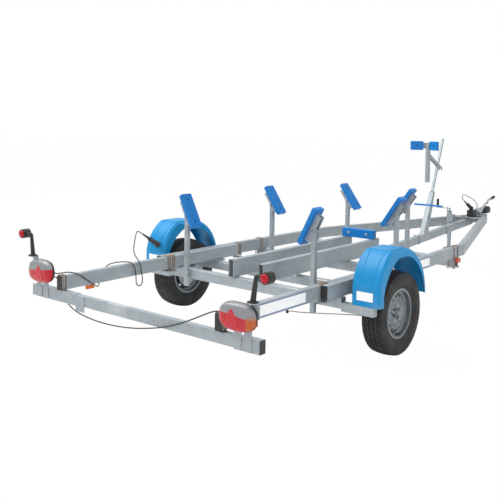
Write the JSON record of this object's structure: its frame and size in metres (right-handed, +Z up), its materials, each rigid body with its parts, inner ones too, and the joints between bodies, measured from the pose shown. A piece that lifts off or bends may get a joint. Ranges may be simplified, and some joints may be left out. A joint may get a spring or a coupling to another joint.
{
  "type": "boat trailer",
  "caption": "Braked boat trailer in galvanised box section with V drawbar, blue hull pads on posts, bow stop, tail lamp beam and jockey wheel",
  "frame": {"origin": "On the floor, under the middle of the trailer's overall box", "axes": "+X forward to the coupling, +Y to the left, +Z up"},
  "size_m": [6.0512, 2.306, 1.4848],
  "materials": {
    "galvanised_steel": "hot dip galvanised, satin grey",
    "blue_plastic": "moulded blue polyethylene",
    "tyre_rubber": "black tyre rubber",
    "silver_rim": "silver wheel paint",
    "dark_iron": "dark cast iron",
    "red_lens": "moulded lamp lens",
    "amber_lens": "moulded amber lens",
    "black_rubber": "black rubber",
    "black_plastic": "black plastic and coated iron"
  },
  "bodies": {
    "frame": {"axle": "galvanised_steel", "bow_bar": "galvanised_steel", "bow_pads": "blue_plastic", "bow_post": "galvanised_steel", "bow_rod": "blue_plastic", "bow_tube": "galvanised_steel", "brake_cable": "black_rubber", "coupling_head": "black_plastic", "coupling_housing": "galvanised_steel", "coupling_plates": "galvanised_steel", "crossbeam_front": "galvanised_steel", "crossbeam_mid": "galvanised_steel", "crossbeam_rear": "galvanised_steel", "end_caps": "black_plastic", "front_rail_left": "galvanised_steel", "front_rail_right": "galvanised_steel", "gaiter": "black_rubber", "jockey_clamp": "galvanised_steel", "keel_pad": "blue_plastic", "keel_pad_bracket": "galvanised_steel", "keel_rail_left": "galvanised_steel", "keel_rail_right": "galvanised_steel", "lamp_brackets": "galvanised_steel", "lead_left": "black_rubber", "lead_nose": "black_rubber", "light_beam": "galvanised_steel", "marker_lamps": "black_rubber", "mudguard_bars": "galvanised_steel", "mudguard_left": "blue_plastic", "mudguard_right": "blue_plastic", "pad_channels": "galvanised_steel", "pad_front_left": "blue_plastic", "pad_front_right": "blue_plastic", "pad_mid_left": "blue_plastic", "pad_mid_right": "blue_plastic", "pad_rear_left": "blue_plastic", "pad_rear_right": "blue_plastic", "plug_holder": "black_plastic", "plug_left": "black_plastic", "plug_nose": "black_plastic", "posts_front": "galvanised_steel", "posts_mid": "galvanised_steel", "posts_rear": "galvanised_steel", "rear_rail_left": "galvanised_steel", "rear_rail_right": "galvanised_steel", "side_markers": "amber_lens", "spine_beam": "galvanised_steel", "tail_cable": "black_rubber", "tail_lamps": "red_lens"},
    "wheel_left": {"tyre_left": "tyre_rubber", "rim_left": "silver_rim", "drum_left": "dark_iron"},
    "wheel_right": {"tyre_right": "tyre_rubber", "rim_right": "silver_rim", "drum_right": "dark_iron"},
    "jockey_column": {"jockey_tube": "galvanised_steel"},
    "jockey_leg": {"jockey_leg": "galvanised_steel"},
    "jockey_fork": {"jockey_fork": "galvanised_steel"},
    "jockey_wheel": {"jockey_wheel": "tyre_rubber"},
    "handbrake": {"handbrake_lever": "black_plastic"}
  },
  "joints": [
    {"name": "wheel_left_spin", "type": "hinge", "parent": "frame", "child": "wheel_left", "pos_m": [-1.43364, 1.032, 0.297], "axis": [0, 1, 0], "continuous": true},
    {"name": "wheel_right_spin", "type": "hinge", "parent": "frame", "child": "wheel_right", "pos_m": [-1.43364, -1.032, 0.297], "axis": [0, 1, 0], "continuous": true},
    {"name": "jockey_column_slide", "type": "slide", "parent": "frame", "child": "jockey_column", "axis": [0, 0, 1], "range_m": [0, 0.12]},
    {"name": "jockey_leg_slide", "type": "slide", "parent": "jockey_column", "child": "jockey_leg", "axis": [0, 0, 1], "range_m": [0, 0.085]},
    {"name": "jockey_swivel", "type": "hinge", "parent": "jockey_leg", "child": "jockey_fork", "pos_m": [1.97836, 0.076, 0.218], "axis": [0, 0, 1], "continuous": true},
    {"name": "jockey_wheel_spin", "type": "hinge", "parent": "jockey_fork", "child": "jockey_wheel", "pos_m": [1.93336, 0.076, 0.1], "axis": [0, 1, 0], "continuous": true},
    {"name": "handbrake_lever_hinge", "type": "hinge", "parent": "frame", "child": "handbrake", "pos_m": [2.58636, -0.05, 0.583], "axis": [0, -1, 0], "range_deg": [-10, 50]}
  ]
}
